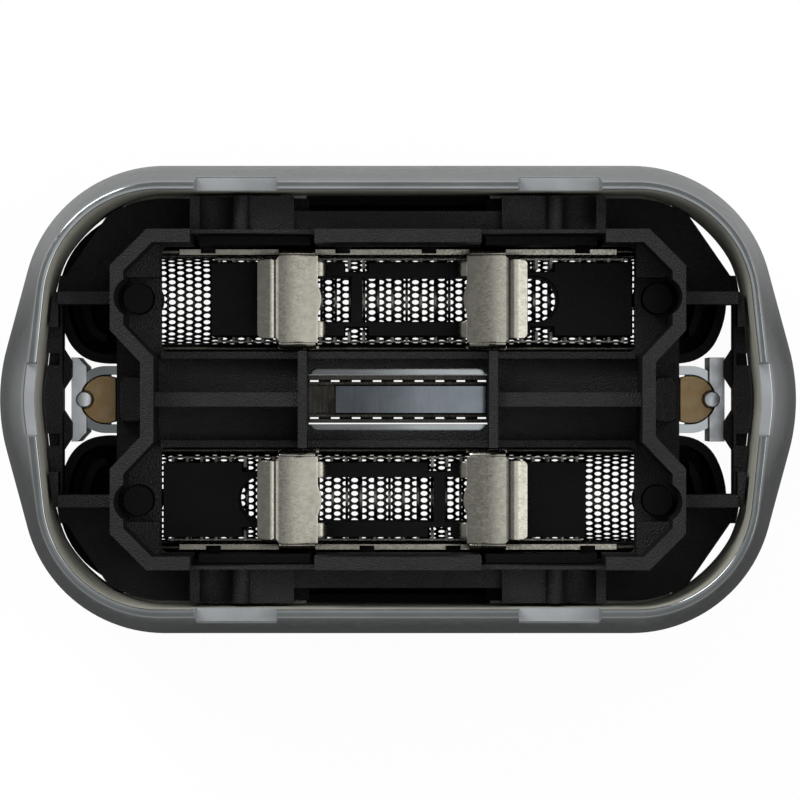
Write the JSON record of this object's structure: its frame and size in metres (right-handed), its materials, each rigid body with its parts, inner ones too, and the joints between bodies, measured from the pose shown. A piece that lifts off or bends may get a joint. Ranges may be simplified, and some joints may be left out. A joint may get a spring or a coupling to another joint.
{
  "type": "shaver foil head",
  "caption": "Foil head cassette for a reciprocating electric shaver: plated shell, black inner frame, floating foils over sliding cutters and a sprung trimmer.",
  "frame": {"origin": "middle of the head's plan, on the surface that the foil crests rest on", "axes": "+X along the head's length, +Y across it to the rear foil, +Z from the shaving side to the handle side"},
  "size_m": [0.046, 0.027, 0.0175],
  "materials": {
    "plated_shell": "satin chrome plated ABS",
    "plated_guard": "satin plated ABS",
    "black_plastic": "spark-grained moulding",
    "foil_steel": "electroformed sheet",
    "stamped_steel": "stamped strip",
    "blade_steel": "ground",
    "slider_plastic": "smooth moulding",
    "tan_plastic": "smooth natural acetal"
  },
  "bodies": {
    "frame": {"outer_frame": "plated_shell", "inner_frame": "black_plastic", "trimmer_spring_left": "stamped_steel", "trimmer_spring_right": "stamped_steel"},
    "foil_unit_rear": {"foil_frame_rear": "black_plastic", "foil_rear": "foil_steel", "foil_retainer_rear": "stamped_steel"},
    "foil_unit_front": {"foil_frame_front": "black_plastic", "foil_front": "foil_steel", "foil_retainer_front": "stamped_steel"},
    "cutter_rear": {"cutter_carrier_rear": "black_plastic", "cutter_blade_rear": "blade_steel"},
    "cutter_front": {"cutter_carrier_front": "black_plastic", "cutter_blade_front": "blade_steel"},
    "trimmer_unit": {"trimmer_guard": "plated_guard", "trimmer_comb": "blade_steel", "trimmer_holder_left": "tan_plastic", "trimmer_holder_right": "tan_plastic", "trimmer_latch_left": "black_plastic", "trimmer_latch_right": "black_plastic"},
    "trimmer_cutter": {"trimmer_blade": "blade_steel", "trimmer_slider": "slider_plastic"}
  },
  "joints": [
    {"name": "foil_float_rear", "type": "slide", "parent": "frame", "child": "foil_unit_rear", "axis": [0, 0, 1], "range_m": [-0.0011, 0]},
    {"name": "foil_float_front", "type": "slide", "parent": "frame", "child": "foil_unit_front", "axis": [0, 0, 1], "range_m": [-0.0011, 0]},
    {"name": "cutter_stroke_rear", "type": "slide", "parent": "foil_unit_rear", "child": "cutter_rear", "axis": [1, 0, 0], "range_m": [-0.0027, 0]},
    {"name": "cutter_stroke_front", "type": "slide", "parent": "foil_unit_front", "child": "cutter_front", "axis": [1, 0, 0], "range_m": [0, 0.0027]},
    {"name": "trimmer_float", "type": "slide", "parent": "frame", "child": "trimmer_unit", "axis": [0, 0, 1], "range_m": [0, 0.0008], "stiffness_N_per_m": 300, "springref_m": -0.001, "deforming": ["trimmer_spring_left", "trimmer_spring_right"]},
    {"name": "trimmer_stroke", "type": "slide", "parent": "trimmer_unit", "child": "trimmer_cutter", "axis": [1, 0, 0], "range_m": [-0.0006, 0.0006]}
  ]
}
